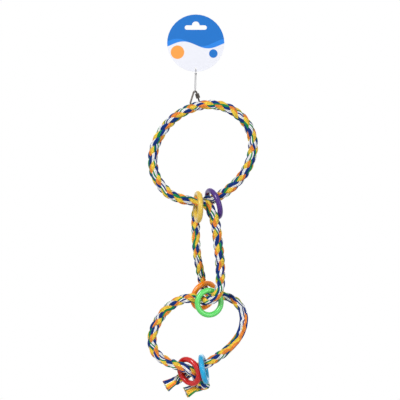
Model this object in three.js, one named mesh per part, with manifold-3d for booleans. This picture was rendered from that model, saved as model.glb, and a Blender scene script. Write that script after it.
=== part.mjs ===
// Bird rope with rings: one stiff laid rope bent into three hanging loops, six loose plastic
// rings threaded on it, a quick link pushed through its top and a card tag on a clear thread.
// Millimetres, +Z up. The front faces -Y. The origin is where a peg carries the tag's slot.
import * as THREE from 'three';
import Module from 'manifold-3d';

const wasm = await Module();
wasm.setup();

// Clearances
const BUTT_GAP = 0.3; // between two stretches of rope that meet face to face
const SEAT_GAP = 0.3; // between two pieces that rest on each other

// Card tag
const TAG_DIAMETER = 83;
const TAG_THICKNESS = 0.6;
const TAG_TOP_MARGIN = 10.2; // card left above the slot
const SLOT_WIDTH = 32;
const SLOT_BAR_HEIGHT = 6.5;
const SLOT_HUMP_RADIUS = 5.5;
const SLOT_HEIGHT = 12;
const STRING_HOLE_DIAMETER = 3.4;
const STRING_HOLE_MARGIN = 4.6; // from the hole's centre to the card's edge
const TAG_CURVE_STEPS = 40;

// Clear thread between the tag and the link
const STRING_DIAMETER = 1;
const STRING_SIDES = 8;
const STRING_STEPS = 10;
const KNOT_WIDTH = 4.2;
const KNOT_HEIGHT = 3.6;
const KNOT_DEPTH = 3.4;
const KNOT_DROP = 3.2; // from the card's edge to the knot's centre
const LEG_SPREAD = 1.4; // each leg's sideways offset at the link
const EYE_PINCH = 0.8; // how far the eye's legs draw together at the knot
const EYE_RISE = 1.1; // height of the eye's crest, as a share of its half width
const LOOP_SLACK = 1.05; // how much wider the loop is than it needs to be round the wire
const LOOP_WAIST = 0.9; // the loop's half width between the knot and the wire
const LOOP_ROOT = 0.7; // depth of each leg at the knot, in thread diameters

// Pear-shaped quick link and its nut
const LINK_WIRE = 2.6;
const LINK_X = -1;
const LINK_BOW_RADIUS = 6.7; // centreline of the wide end
const LINK_TIP_RADIUS = 2.2; // centreline of the narrow end
const LINK_HEIGHT = 24.2; // centreline, from the wide end's bottom to the tip
const LINK_BOW_BELOW_ROPE = 1.5; // how far the wide end lies under the rope's centre
const LINK_SIDES = 12;
const LINK_ARC_STEPS = 14;
const NUT_ACROSS_FLATS = 5.2;
const NUT_LENGTH = 7;
const NUT_BORE_GAP = 0.25;
const NUT_TIP_SHOULDER = 1.8; // from the nut's upper end to the start of the tip's bend, when closed
const THREAD_GAP = 2.8; // the opening in the wire that the nut closes
const THREAD_COVER = 1.4; // wire inside the nut's upper end, when closed

// Passage of the link through the rope
const PASSAGE_GAP = 0.45;
const PASSAGE_SWING = 17; // degrees each way that the passage lets the rope swing
const PASSAGE_CUTS = 5;
const PASSAGE_SIDES = 8;
const PASSAGE_FIRST_POINT = 36; // points of the route between which the link passes
const PASSAGE_LAST_POINT = 39;
const HEIGHT_TRIES = 200;

// Rope
const ROPE_DIAMETER = 12.8;
const ROPE_SIDES = 12;
const END_LENGTH = 15;
const END_FLATTEN = 0.84;
const END_SIDES = 16;
// The loosened end's radius as a share of the rope's, and how far along the end that is
const END_PROFILE = [[0.98, 0], [1.08, 0.2], [1.24, 0.5], [1.42, 0.85], [1.38, 1]];

// The rope's centreline from its left end to its right end, chosen by eye
const ROPE_ROUTE = [
  // left end, behind the red ring, through the blue ring
  [-41, 15, -530], [-31.5, 17.5, -524], [-22, 18.5, -519], [-14, 17, -514.5],
  [-7, 13, -509.5], [0, 7, -504.5], [6.5, 0, -500], [14, -6, -496.5],
  // right side of the bottom loop
  [26, -5.5, -489.5], [40, -2, -480.5], [54.5, 0, -467.5], [65.5, 0, -451],
  [69.5, 1, -430.5], [64.5, 4.5, -413.5], [54, 9, -403.5],
  // behind the lower crossing, through the orange ring
  [43, 13, -399], [32.5, 16.5, -398], [22.5, 20, -396.5], [14, 23, -391],
  [10, 24.5, -381.5], [8, 21.5, -370.5],
  // left side of the middle loop
  [5, 15, -356], [2, 9.5, -338.5], [0.5, 8, -321], [0, 11.5, -304],
  // behind the upper crossing, through the purple ring
  [0, 17.5, -288.5], [1, 22.5, -275], [6.5, 19.5, -265], [14, 12, -260],
  [23.5, 6.5, -258], [33.5, 3.5, -253], [44, 1, -246.5],
  // round the top loop, under the link
  [63.5, 0, -228.5], [78, 0, -205], [83, 0, -175.5], [72.5, 0, -146.5],
  [48.5, 0, -126.5], [18.5, 0, -120.5], [-9.5, 0, -127], [-33, 0, -141.5],
  [-51, 0, -163], [-61.5, 0, -190.5], [-59, 0, -222], [-40.5, 0, -248],
  [-26, -0.5, -255.5],
  // through the yellow ring, in front of the upper crossing
  [-11, -2, -259.5], [1, -3.5, -261], [10.5, -4.5, -262.5], [18, -5.5, -267.5],
  [22.5, -7.5, -275.5], [26.5, -8, -285.5],
  // right side of the middle loop
  [29.5, -8.5, -298], [31.5, -8.5, -314], [33.5, -9, -331.5], [35, -10.5, -348.5],
  // in front of the lower crossing, through the green ring
  [35.5, -13.5, -366], [35, -17, -381.5], [32, -18, -393], [25, -13, -401.5],
  [15.5, -7.5, -404.5], [6, -3.5, -402.5], [-3.5, -2.5, -401], [-13.5, -2, -401.5],
  // left side of the bottom loop
  [-23.5, -1, -404.5], [-38.5, 0, -414], [-51.5, 0, -429], [-60, 0, -445],
  [-63.5, 0, -462], [-60, -1, -477], [-51.5, -3, -486.5], [-39.5, -7, -493],
  // through the red ring, round the last bend to the right end
  [-27, -11.5, -497.5], [-15.5, -12, -501], [-6.5, -9, -506.5], [0, -3.5, -513.5],
  [5.5, 3.5, -521], [11, 9.5, -526], [14.5, 16, -528.5], [12.5, 22.5, -530],
  [6, 26.5, -532], [-1.5, 26, -535], [-8, 23, -539],
];

// Stretches of the one rope, cut at numbered points of the route
const ROPE_STRETCHES = [
  { name: 'rope_left_tail', from: 1, to: 8, steps: 10 },
  { name: 'rope_bottom_right', from: 8, to: 14, steps: 7 },
  { name: 'rope_lower_bend_back', from: 14, to: 20, steps: 10 },
  { name: 'rope_middle_left', from: 20, to: 24, steps: 4 },
  { name: 'rope_upper_bend_back', from: 24, to: 31, steps: 12 },
  { name: 'rope_top_loop', from: 31, to: 44, steps: 22 },
  { name: 'rope_upper_bend_front', from: 44, to: 50, steps: 8 },
  { name: 'rope_middle_right', from: 50, to: 54, steps: 4 },
  { name: 'rope_lower_bend_front', from: 54, to: 62, steps: 12 },
  { name: 'rope_bottom_left', from: 62, to: 70, steps: 9 },
  { name: 'rope_last_bend', from: 70, to: 80, steps: 16 },
];

// Plastic rings: lean is the tilt in the picture, turn is how far the ring faces away
const RING_TUBE = 8;
const RING_SIDES = 12;
const RING_STEPS = 44;
const RINGS = [
  { name: 'ring_yellow', color: 0xe6c84a, outer: 48, at: [3.5, -8.8, -268.5], lean: 0, turn: -80 },
  { name: 'ring_purple', color: 0x6a3fa8, outer: 48.5, at: [26.2, 5.4, -264.2], lean: -18.5, turn: -70 },
  { name: 'ring_green', color: 0x5ce070, outer: 43.5, at: [19.5, -9.4, -407], lean: 0, turn: 16.5 },
  { name: 'ring_orange', color: 0xff8a14, outer: 47, at: [11.7, 20.1, -398.5], lean: 29.5, turn: 43 },
  { name: 'ring_red', color: 0xdc2428, outer: 45, at: [-9.5, -8, -506.5], lean: -23.5, turn: -45 },
  { name: 'ring_blue', color: 0x18a0e0, outer: 44.5, at: [11.7, -8.7, -503], lean: -11.5, turn: 84 },
];

// Materials
const CARD = { color: 0x2f74d0, roughness: 0.35, metalness: 0 };
const CLEAR_THREAD = { color: 0xdfe3e6, roughness: 0.25, metalness: 0 };
const NICKEL = { color: 0xc9c9c6, roughness: 0.22, metalness: 1 };
const COTTON = { color: 0xb39a5e, roughness: 0.95, metalness: 0 };
const GLOSSY = { roughness: 0.18, metalness: 0 };

const object = new THREE.Group();
object.name = 'bird_rope_with_rings';

function addPiece(name, geometry, finish) {
  const piece = new THREE.Mesh(geometry, new THREE.MeshStandardMaterial(finish));
  piece.name = name;
  object.add(piece);
  return piece;
}

function circleShape(radius, sides) {
  const points = [];
  for (let i = 0; i < sides; i += 1) {
    const angle = (2 * Math.PI * i) / sides;
    points.push(new THREE.Vector2(radius * Math.cos(angle), radius * Math.sin(angle)));
  }
  return new THREE.Shape(points);
}

function tubeAlong(path, diameter, sides, steps) {
  return new THREE.ExtrudeGeometry(circleShape(diameter / 2, sides), {
    steps,
    bevelEnabled: false,
    extrudePath: path,
  });
}

// Solid from a closed three.js geometry
function toManifold(geometry) {
  const position = geometry.getAttribute('position');
  const found = new Map();
  const points = [];
  const corners = [];
  for (let i = 0; i < position.count; i += 1) {
    const corner = [position.getX(i), position.getY(i), position.getZ(i)];
    const key = corner.map((value) => Math.round(value * 1e4)).join(',');
    if (!found.has(key)) {
      found.set(key, points.length / 3);
      points.push(...corner);
    }
    corners.push(found.get(key));
  }
  const order = geometry.index ? Array.from(geometry.index.array, (i) => corners[i]) : corners;
  const triangles = [];
  for (let i = 0; i < order.length; i += 3) {
    const [a, b, c] = order.slice(i, i + 3);
    if (a !== b && b !== c && a !== c) triangles.push(a, b, c);
  }
  return new wasm.Manifold(new wasm.Mesh({
    numProp: 3,
    vertProperties: new Float32Array(points),
    triVerts: new Uint32Array(triangles),
  }));
}

function fromManifold(solid) {
  const mesh = solid.getMesh();
  const geometry = new THREE.BufferGeometry();
  geometry.setAttribute('position', new THREE.BufferAttribute(mesh.vertProperties, 3));
  geometry.setIndex(Array.from(mesh.triVerts));
  return geometry;
}

// Rope centreline

class Stretch extends THREE.Curve {
  constructor(curve, start, end) {
    super();
    this.curve = curve;
    this.start = start;
    this.end = end;
  }

  getPoint(t, target = new THREE.Vector3()) {
    return this.curve.getPointAt(THREE.MathUtils.lerp(this.start, this.end, t), target);
  }
}

const CURVE_FINENESS = 20;
const ropeLine = new THREE.CatmullRomCurve3(ROPE_ROUTE.map((point) => new THREE.Vector3(...point)));
ropeLine.arcLengthDivisions = (ROPE_ROUTE.length - 1) * CURVE_FINENESS;
const ropeLengths = ropeLine.getLengths();
const ropeLength = ropeLengths[ropeLengths.length - 1];
const shareAt = (point) => ropeLengths[point * CURVE_FINENESS] / ropeLength;

// Rope stretches

function ropeStretch({ from, to, steps }) {
  const trim = BUTT_GAP / 2 / ropeLength;
  const path = new Stretch(ropeLine, shareAt(from) + trim, shareAt(to) - trim);
  return tubeAlong(path, ROPE_DIAMETER, ROPE_SIDES, steps);
}

const stretches = new Map();
for (const stretch of ROPE_STRETCHES) {
  stretches.set(stretch.name, ropeStretch(stretch));
}

// Loosened, straight-cut rope end, swelling from the rope's width to its flare
function ropeEnd(face, outward) {
  const radius = ROPE_DIAMETER / 2;
  const profile = [[0, 0], ...END_PROFILE, [0, 1]].map(
    ([width, along]) => new THREE.Vector2(radius * width, END_LENGTH * along),
  );
  const end = new THREE.LatheGeometry(profile, END_SIDES);
  end.scale(1, 1, END_FLATTEN);
  const turn = new THREE.Quaternion().setFromUnitVectors(new THREE.Vector3(0, 1, 0), outward);
  end.applyQuaternion(turn);
  end.translate(face.x, face.y, face.z);
  return end;
}

function addRopeEnd(name, point, sign) {
  const share = shareAt(point);
  const outward = ropeLine.getTangentAt(share).multiplyScalar(sign);
  const face = ropeLine.getPointAt(share).addScaledVector(outward, BUTT_GAP / 2);
  addPiece(name, ropeEnd(face, outward), COTTON);
}

// Quick link: the wire runs from the nut's upper side over the tip, down the left side,
// round the wide end and up to the nut's lower side

const rise = LINK_HEIGHT - LINK_BOW_RADIUS - LINK_TIP_RADIUS;
const sideTilt = Math.asin((LINK_BOW_RADIUS - LINK_TIP_RADIUS) / rise);
const sideLength = rise * Math.cos(sideTilt);

// The rope's height where the link passes through it
function ropeHeightAt(x) {
  let best = new THREE.Vector3();
  let error = Infinity;
  const first = shareAt(PASSAGE_FIRST_POINT);
  const last = shareAt(PASSAGE_LAST_POINT);
  for (let i = 0; i <= HEIGHT_TRIES; i += 1) {
    const point = ropeLine.getPointAt(THREE.MathUtils.lerp(first, last, i / HEIGHT_TRIES));
    if (Math.abs(point.x - x) < error) {
      error = Math.abs(point.x - x);
      best = point;
    }
  }
  return best.z;
}

const bowBottom = ropeHeightAt(LINK_X) - LINK_BOW_BELOW_ROPE;
const bowCentre = new THREE.Vector2(LINK_X, bowBottom + LINK_BOW_RADIUS);
const tipCentre = new THREE.Vector2(LINK_X, bowBottom + LINK_HEIGHT - LINK_TIP_RADIUS);

// A point on the right side's centreline, this far above the end of the wide bend
function rightSide(distance) {
  const x = bowCentre.x + LINK_BOW_RADIUS * Math.cos(sideTilt) - distance * Math.sin(sideTilt);
  const z = bowCentre.y + LINK_BOW_RADIUS * Math.sin(sideTilt) + distance * Math.cos(sideTilt);
  return new THREE.Vector3(x, 0, z);
}

function arcPoints(centre, radius, startAngle, endAngle, steps) {
  const points = [];
  for (let i = 0; i <= steps; i += 1) {
    const angle = THREE.MathUtils.lerp(startAngle, endAngle, i / steps);
    points.push(new THREE.Vector3(
      centre.x + radius * Math.cos(angle), 0, centre.y + radius * Math.sin(angle),
    ));
  }
  return points;
}

// Polyline of straights and arcs, walked at an even pace between its points
class Polyline extends THREE.Curve {
  constructor(points) {
    super();
    this.points = points;
  }

  getPoint(t, target = new THREE.Vector3()) {
    const place = t * (this.points.length - 1);
    const i = Math.min(Math.floor(place), this.points.length - 2);
    return target.lerpVectors(this.points[i], this.points[i + 1], place - i);
  }

  getPointAt(t, target) {
    return this.getPoint(t, target);
  }

  getTangentAt(t, target = new THREE.Vector3()) {
    const last = this.points.length - 1;
    const i = Math.round(t * last);
    const before = this.points[Math.max(i - 1, 0)];
    const after = this.points[Math.min(i + 1, last)];
    return target.subVectors(after, before).normalize();
  }
}

const nutClosedTop = sideLength - NUT_TIP_SHOULDER;
const nutClosedBottom = nutClosedTop - NUT_LENGTH;
const gapTop = nutClosedTop - THREAD_COVER;
const gapBottom = gapTop - THREAD_GAP;

const linkPoints = [
  rightSide(gapTop),
  ...arcPoints(tipCentre, LINK_TIP_RADIUS, sideTilt, Math.PI - sideTilt, LINK_ARC_STEPS),
  ...arcPoints(bowCentre, LINK_BOW_RADIUS, Math.PI - sideTilt, 2 * Math.PI + sideTilt, 2 * LINK_ARC_STEPS),
  rightSide(gapBottom),
];
addPiece('link', tubeAlong(
  new Polyline(linkPoints), LINK_WIRE, LINK_SIDES, linkPoints.length - 1,
), NICKEL);

// Six-sided nut with its bore, drawn upright and laid along the link's side
function linkNut() {
  const corner = NUT_ACROSS_FLATS / 2 / Math.cos(Math.PI / 6);
  const outline = circleShape(corner, 6);
  outline.holes.push(circleShape(LINK_WIRE / 2 + NUT_BORE_GAP, LINK_SIDES));
  const nut = new THREE.ExtrudeGeometry(outline, { depth: NUT_LENGTH, steps: 1, bevelEnabled: false });
  nut.rotateY(-sideTilt);
  const foot = rightSide(nutClosedBottom);
  nut.translate(foot.x, foot.y, foot.z);
  return nut;
}
addPiece('link_nut', linkNut(), NICKEL);

// The link's passage through the rope, wide enough for the rope to swing on it
function linkPassage() {
  const rightTop = rightSide(ROPE_DIAMETER);
  const leftTop = new THREE.Vector3(2 * LINK_X - rightTop.x, 0, rightTop.z);
  const points = [
    leftTop,
    ...arcPoints(bowCentre, LINK_BOW_RADIUS, Math.PI - sideTilt, 2 * Math.PI + sideTilt, LINK_ARC_STEPS),
    rightTop,
  ];
  const width = LINK_WIRE + 2 * PASSAGE_GAP;
  const cutter = tubeAlong(new Polyline(points), width, PASSAGE_SIDES, points.length - 1);
  let passage = null;
  for (let i = 0; i < PASSAGE_CUTS; i += 1) {
    const angle = THREE.MathUtils.degToRad(
      THREE.MathUtils.lerp(-PASSAGE_SWING, PASSAGE_SWING, i / (PASSAGE_CUTS - 1)),
    );
    const turned = cutter.clone();
    turned.translate(0, 0, -bowBottom);
    turned.rotateX(angle);
    turned.translate(0, 0, bowBottom);
    const cut = toManifold(turned);
    passage = passage ? passage.add(cut) : cut;
  }
  return passage;
}

for (const [name, geometry] of stretches) {
  const solid = name === 'rope_top_loop'
    ? fromManifold(toManifold(geometry).subtract(linkPassage()))
    : geometry;
  addPiece(name, solid, COTTON);
}
addRopeEnd('rope_left_end', ROPE_STRETCHES[0].from, -1);
addRopeEnd('rope_right_end', ROPE_STRETCHES[ROPE_STRETCHES.length - 1].to, 1);

// Rings
for (const ring of RINGS) {
  const middle = (ring.outer - RING_TUBE) / 2;
  const torus = new THREE.TorusGeometry(middle, RING_TUBE / 2, RING_SIDES, RING_STEPS);
  torus.rotateX(Math.PI / 2);
  torus.rotateZ(THREE.MathUtils.degToRad(ring.turn));
  torus.rotateY(THREE.MathUtils.degToRad(ring.lean));
  const piece = addPiece(ring.name, torus, { color: ring.color, ...GLOSSY });
  piece.position.set(...ring.at);
}

// Card tag with its hanging slot and string hole
const tagCentre = TAG_TOP_MARGIN - TAG_DIAMETER / 2;
const tagBottom = tagCentre - TAG_DIAMETER / 2;
const stringHole = tagBottom + STRING_HOLE_MARGIN;

function hangingSlot() {
  const bar = SLOT_BAR_HEIGHT / 2;
  const barCentre = -SLOT_HEIGHT + bar;
  const humpCentre = -SLOT_HUMP_RADIUS;
  const barTop = barCentre + bar;
  const humpSide = Math.sqrt(SLOT_HUMP_RADIUS ** 2 - Math.max(barTop - humpCentre, 0) ** 2);
  const end = SLOT_WIDTH / 2 - bar;
  const slot = new THREE.Path();
  slot.moveTo(-end, barCentre - bar);
  slot.lineTo(end, barCentre - bar);
  slot.absarc(end, barCentre, bar, -Math.PI / 2, Math.PI / 2, false);
  slot.lineTo(humpSide, barTop);
  const start = Math.atan2(barTop - humpCentre, humpSide);
  slot.absarc(0, humpCentre, SLOT_HUMP_RADIUS, start, Math.PI - start, false);
  slot.lineTo(-end, barTop);
  slot.absarc(-end, barCentre, bar, Math.PI / 2, (3 * Math.PI) / 2, false);
  return slot;
}

function tagCard() {
  const outline = new THREE.Shape();
  outline.absarc(0, tagCentre, TAG_DIAMETER / 2, 0, 2 * Math.PI, false);
  outline.holes.push(hangingSlot());
  const hole = new THREE.Path();
  hole.absarc(0, stringHole, STRING_HOLE_DIAMETER / 2, 0, 2 * Math.PI, true);
  outline.holes.push(hole);
  const card = new THREE.ExtrudeGeometry(outline, {
    depth: TAG_THICKNESS, steps: 1, bevelEnabled: false, curveSegments: TAG_CURVE_STEPS / 2,
  });
  card.rotateX(Math.PI / 2);
  card.translate(0, TAG_THICKNESS / 2, 0);
  return card;
}
addPiece('hang_tag', tagCard(), CARD);

// Thread: an eye through the tag's hole, a knot under the card, and a loop round the link's tip
const knotCentre = tagBottom - KNOT_DROP;
const tipTop = bowBottom + LINK_HEIGHT;

function threadEye() {
  const side = TAG_THICKNESS / 2 + STRING_DIAMETER / 2 + SEAT_GAP;
  const holeEdge = stringHole - STRING_HOLE_DIAMETER / 2;
  const foot = knotCentre + KNOT_HEIGHT / 2 + SEAT_GAP;
  const path = new THREE.CatmullRomCurve3([
    new THREE.Vector3(0, -side * EYE_PINCH, foot),
    new THREE.Vector3(0, -side, tagBottom),
    new THREE.Vector3(0, -side, holeEdge),
    new THREE.Vector3(0, 0, holeEdge + side * EYE_RISE),
    new THREE.Vector3(0, side, holeEdge),
    new THREE.Vector3(0, side, tagBottom),
    new THREE.Vector3(0, side * EYE_PINCH, foot),
  ]);
  return tubeAlong(path, STRING_DIAMETER, STRING_SIDES, 2 * STRING_STEPS);
}
addPiece('string_eye', threadEye(), CLEAR_THREAD);

const knot = new THREE.SphereGeometry(0.5, 14, 10);
knot.rotateX(Math.PI / 2);
knot.scale(KNOT_WIDTH, KNOT_DEPTH, KNOT_HEIGHT);
knot.translate(0, 0, knotCentre);
addPiece('string_knot', knot, CLEAR_THREAD);

function threadLoop() {
  const start = knotCentre - KNOT_HEIGHT / 2 - SEAT_GAP;
  const reach = (LINK_WIRE / 2 + STRING_DIAMETER / 2 + SEAT_GAP) * LOOP_SLACK;
  const slant = reach * Math.SQRT1_2;
  const waist = reach * LOOP_WAIST;
  const root = STRING_DIAMETER * LOOP_ROOT;
  const path = new THREE.CatmullRomCurve3([
    new THREE.Vector3(-LEG_SPREAD / 2, -root, start),
    new THREE.Vector3(LINK_X - LEG_SPREAD / 2, -waist, (start + tipTop) / 2),
    new THREE.Vector3(LINK_X - LEG_SPREAD / 3, -reach, tipTop + LINK_WIRE / 2),
    new THREE.Vector3(LINK_X, -slant, tipTop - slant),
    new THREE.Vector3(LINK_X, 0, tipTop - reach),
    new THREE.Vector3(LINK_X, slant, tipTop - slant),
    new THREE.Vector3(LINK_X + LEG_SPREAD / 3, reach, tipTop + LINK_WIRE / 2),
    new THREE.Vector3(LINK_X + LEG_SPREAD, waist, (start + tipTop) / 2),
    new THREE.Vector3(LEG_SPREAD / 2, root, start),
  ]);
  return tubeAlong(path, STRING_DIAMETER, STRING_SIDES, 4 * STRING_STEPS);
}
addPiece('string_loop', threadLoop(), CLEAR_THREAD);

export default object;
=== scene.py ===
"""Bird rope with rings: laid cotton rope, plastic rings, screw link, thread and card tag."""

import math

import bmesh
import bpy
import numpy as np
from bpy.props import FloatProperty, FloatVectorProperty, PointerProperty
from mathutils import Matrix, Vector


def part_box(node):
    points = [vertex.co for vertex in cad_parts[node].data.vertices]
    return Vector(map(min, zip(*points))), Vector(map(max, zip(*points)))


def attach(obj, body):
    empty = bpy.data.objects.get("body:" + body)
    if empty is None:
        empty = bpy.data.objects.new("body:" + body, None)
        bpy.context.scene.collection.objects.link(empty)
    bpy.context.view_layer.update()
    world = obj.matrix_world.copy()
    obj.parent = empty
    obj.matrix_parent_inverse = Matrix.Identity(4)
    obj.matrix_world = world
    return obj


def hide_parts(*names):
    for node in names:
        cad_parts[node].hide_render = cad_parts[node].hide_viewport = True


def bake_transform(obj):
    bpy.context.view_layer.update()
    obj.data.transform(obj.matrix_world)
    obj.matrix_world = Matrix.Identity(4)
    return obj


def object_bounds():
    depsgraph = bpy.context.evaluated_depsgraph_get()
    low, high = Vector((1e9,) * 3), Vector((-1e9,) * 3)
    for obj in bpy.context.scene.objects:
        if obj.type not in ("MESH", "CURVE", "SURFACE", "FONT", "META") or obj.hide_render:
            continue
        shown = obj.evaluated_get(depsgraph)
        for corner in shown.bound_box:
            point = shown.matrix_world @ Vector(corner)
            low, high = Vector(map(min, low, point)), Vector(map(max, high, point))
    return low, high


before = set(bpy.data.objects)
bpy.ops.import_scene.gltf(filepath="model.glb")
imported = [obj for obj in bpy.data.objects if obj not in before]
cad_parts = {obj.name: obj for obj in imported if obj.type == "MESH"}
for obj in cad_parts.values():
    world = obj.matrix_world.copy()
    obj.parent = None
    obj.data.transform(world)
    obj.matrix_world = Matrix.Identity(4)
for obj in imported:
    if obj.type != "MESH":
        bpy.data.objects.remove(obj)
SOLID_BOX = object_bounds()

bl_info = {
    "name": "Bird Rope with Rings",
    "version": (1, 0, 0),
    "blender": (4, 5, 0),
    "location": "View3D > Sidebar > Bird Rope",
    "description": "Builds a hanging rope toy with loose plastic rings",
    "category": "Object",
}

# The rope's centreline from one end to the other, listed in metres
ROPE_ROUTE = [
    (-0.041, 0.015, -0.53), (-0.0315, 0.0175, -0.524), (-0.022, 0.0185, -0.519),
    (-0.014, 0.017, -0.5145), (-0.007, 0.013, -0.5095), (0, 0.007, -0.5045), (0.0065, 0, -0.5),
    (0.014, -0.006, -0.4965), (0.026, -0.0055, -0.4895), (0.04, -0.002, -0.4805),
    (0.0545, 0, -0.4675), (0.0655, 0, -0.451), (0.0695, 0.001, -0.4305),
    (0.0645, 0.0045, -0.4135), (0.054, 0.009, -0.4035), (0.043, 0.013, -0.399),
    (0.0325, 0.0165, -0.398), (0.0225, 0.02, -0.3965), (0.014, 0.023, -0.391),
    (0.01, 0.0245, -0.3815), (0.008, 0.0215, -0.3705), (0.005, 0.015, -0.356),
    (0.002, 0.0095, -0.3385), (0.0005, 0.008, -0.321), (0, 0.0115, -0.304),
    (0, 0.0175, -0.2885), (0.001, 0.0225, -0.275), (0.0065, 0.0195, -0.265),
    (0.014, 0.012, -0.26), (0.0235, 0.0065, -0.258), (0.0335, 0.0035, -0.253),
    (0.044, 0.001, -0.2465), (0.0635, 0, -0.2285), (0.078, 0, -0.205), (0.083, 0, -0.1755),
    (0.0725, 0, -0.1465), (0.0485, 0, -0.1265), (0.0185, 0, -0.1205), (-0.0095, 0, -0.127),
    (-0.033, 0, -0.1415), (-0.051, 0, -0.163), (-0.0615, 0, -0.1905), (-0.059, 0, -0.222),
    (-0.0405, 0, -0.248), (-0.026, -0.0005, -0.2555), (-0.011, -0.002, -0.2595),
    (0.001, -0.0035, -0.261), (0.0105, -0.0045, -0.2625), (0.018, -0.0055, -0.2675),
    (0.0225, -0.0075, -0.2755), (0.0265, -0.008, -0.2855), (0.0295, -0.0085, -0.298),
    (0.0315, -0.0085, -0.314), (0.0335, -0.009, -0.3315), (0.035, -0.0105, -0.3485),
    (0.0355, -0.0135, -0.366), (0.035, -0.017, -0.3815), (0.032, -0.018, -0.393),
    (0.025, -0.013, -0.4015), (0.0155, -0.0075, -0.4045), (0.006, -0.0035, -0.4025),
    (-0.0035, -0.0025, -0.401), (-0.0135, -0.002, -0.4015), (-0.0235, -0.001, -0.4045),
    (-0.0385, 0, -0.414), (-0.0515, 0, -0.429), (-0.06, 0, -0.445), (-0.0635, 0, -0.462),
    (-0.06, -0.001, -0.477), (-0.0515, -0.003, -0.4865), (-0.0395, -0.007, -0.493),
    (-0.027, -0.0115, -0.4975), (-0.0155, -0.012, -0.501), (-0.0065, -0.009, -0.5065),
    (0, -0.0035, -0.5135), (0.0055, 0.0035, -0.521), (0.011, 0.0095, -0.526),
    (0.0145, 0.016, -0.5285), (0.0125, 0.0225, -0.53), (0.006, 0.0265, -0.532),
    (-0.0015, 0.026, -0.535), (-0.008, 0.023, -0.539),
]

# Pieces of the rope, each with its first and last point of the route, its body and the
# solids it covers. A piece whose rope ends free starts at its last point.
ROPE_PIECES = [
    ("right_half", 14, 1, "bottom_loop", ("rope_bottom_right", "rope_left_tail")),
    ("middle_left", 20, 24, "middle_loop", ("rope_middle_left",)),
    ("top_loop", 31, 44, "top_loop", ("rope_top_loop",)),
    ("middle_right", 50, 54, "middle_loop", ("rope_middle_right",)),
    ("left_half", 62, 80, "bottom_loop", ("rope_bottom_left", "rope_last_bend")),
]
# Bends between two bodies, with the two points between which a flex would lie
ROPE_BENDS = [
    ("lower_bend_back", 14, 20, ("middle_loop", "bottom_loop"), (20, 18.9)),
    ("upper_bend_back", 24, 31, ("top_loop", "middle_loop"), (31, 29.8)),
    ("upper_bend_front", 44, 50, ("top_loop", "middle_loop"), (44, 45)),
    ("lower_bend_front", 54, 62, ("middle_loop", "bottom_loop"), (54, 56)),
]
# Loosened ends: the rope piece each one ends, its point of the route and which way it faces
ROPE_ENDS = [("left_end", "right_half", 1, -1), ("right_end", "left_half", 80, 1)]
END_LENGTH = 0.015
# How full the rope lies along its route, as (point, share of its diameter)
ROPE_FULLNESS = [
    (0, 0.97), (7, 1.0), (10, 0.92), (13, 0.92), (16, 0.9), (20, 0.9), (22, 0.86), (24, 0.92),
    (26, 0.98), (29, 1.04), (36, 1.04), (37.2, 0.98), (38.2, 0.98),
    (39.5, 1.04), (44, 1.04), (46, 1.0), (49, 1.06), (54, 1.03), (57, 1.0),
    (72, 1.0), (75, 0.97),
]
SAMPLES_PER_SPAN = 24
STRAIGHT = 1e-18  # a smaller change of direction than this, squared, is none

# Rings: outside diameter, centre, lean in the picture and turn away from it
RING_TUBE = 0.008
PARTING_LINE = 0.00004  # how far the line that the mould leaves stands out
NEAR = 1e-6  # closer than this counts as on the same plane
RINGS = {
    "yellow": (0.048, (0.0035, -0.0088, -0.2685), 0.0, -80.0),
    "purple": (0.0485, (0.0262, 0.0054, -0.2642), -18.5, -70.0),
    "green": (0.0435, (0.0195, -0.0094, -0.407), 0.0, 16.5),
    "orange": (0.047, (0.0117, 0.0201, -0.3985), 29.5, 43.0),
    "red": (0.045, (-0.0095, -0.008, -0.5065), -23.5, -45.0),
    "blue": (0.0445, (0.0117, -0.0087, -0.503), -11.5, 84.0),
}

# Yarns round each of the three strands, in order: a colour and how many yarns have it
STRAND_YARNS = (
    (("yellow", 3), ("orange", 3), ("navy", 2), ("white", 2), ("navy", 2), ("green", 2)),
    (("yellow", 3), ("orange", 2), ("navy", 3), ("white", 2), ("green", 1), ("white", 1),
     ("navy", 1), ("green", 1)),
    (("yellow", 3), ("orange", 2), ("green", 1), ("navy", 3), ("white", 2), ("navy", 1),
     ("white", 1), ("green", 1)),
)
STRANDS = len(STRAND_YARNS)
YARNS = sum(count for _, count in STRAND_YARNS[0])
POINTS_PER_YARN = 4
COLUMNS = YARNS * POINTS_PER_YARN
STRAND_SHARE = 0.66  # a strand's radius over the rope's
YARN_START = 2.1  # turns the palette so that the opened lay shows its colours as worn
YARN_DEPTH = 0.13  # depth of the creases between yarns over the strand's radius
OPENED_LAY = (8.6, 13.6)  # points of the route between which the lay is opened
LAY_BLEND = 0.02  # length over which the lay opens or closes
END_TURN = 4.0  # how much further the yarns have turned at the rope's first end
END_TURN_LENGTH = 0.06
RING_STEP = 0.0011  # distance along a strand from one ring of points to the next
PLY_PITCH = 0.0024  # length of one turn of a yarn's plies
# How uneven a strand is: step of the phase from strand to strand, its start, and waves of
# (size, length)
STRAND_SWAY = (1.1, 0.0, ((0.1, 0.053),))
YARN_DRIFT = (2.3, 0.4, ((0.42, 0.067), (0.3, 0.041), (0.12, 0.019)))
OPENED_DRIFT = (1.7, 0.0, ((0.28, 0.016), (0.12, 0.0087)))
PLUMPNESS = (3.1, 1.0, ((0.022, 0.031), (0.018, 0.012)))
PHASE_SPREAD = 1.7  # keeps the waves of one strand from starting together
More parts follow.
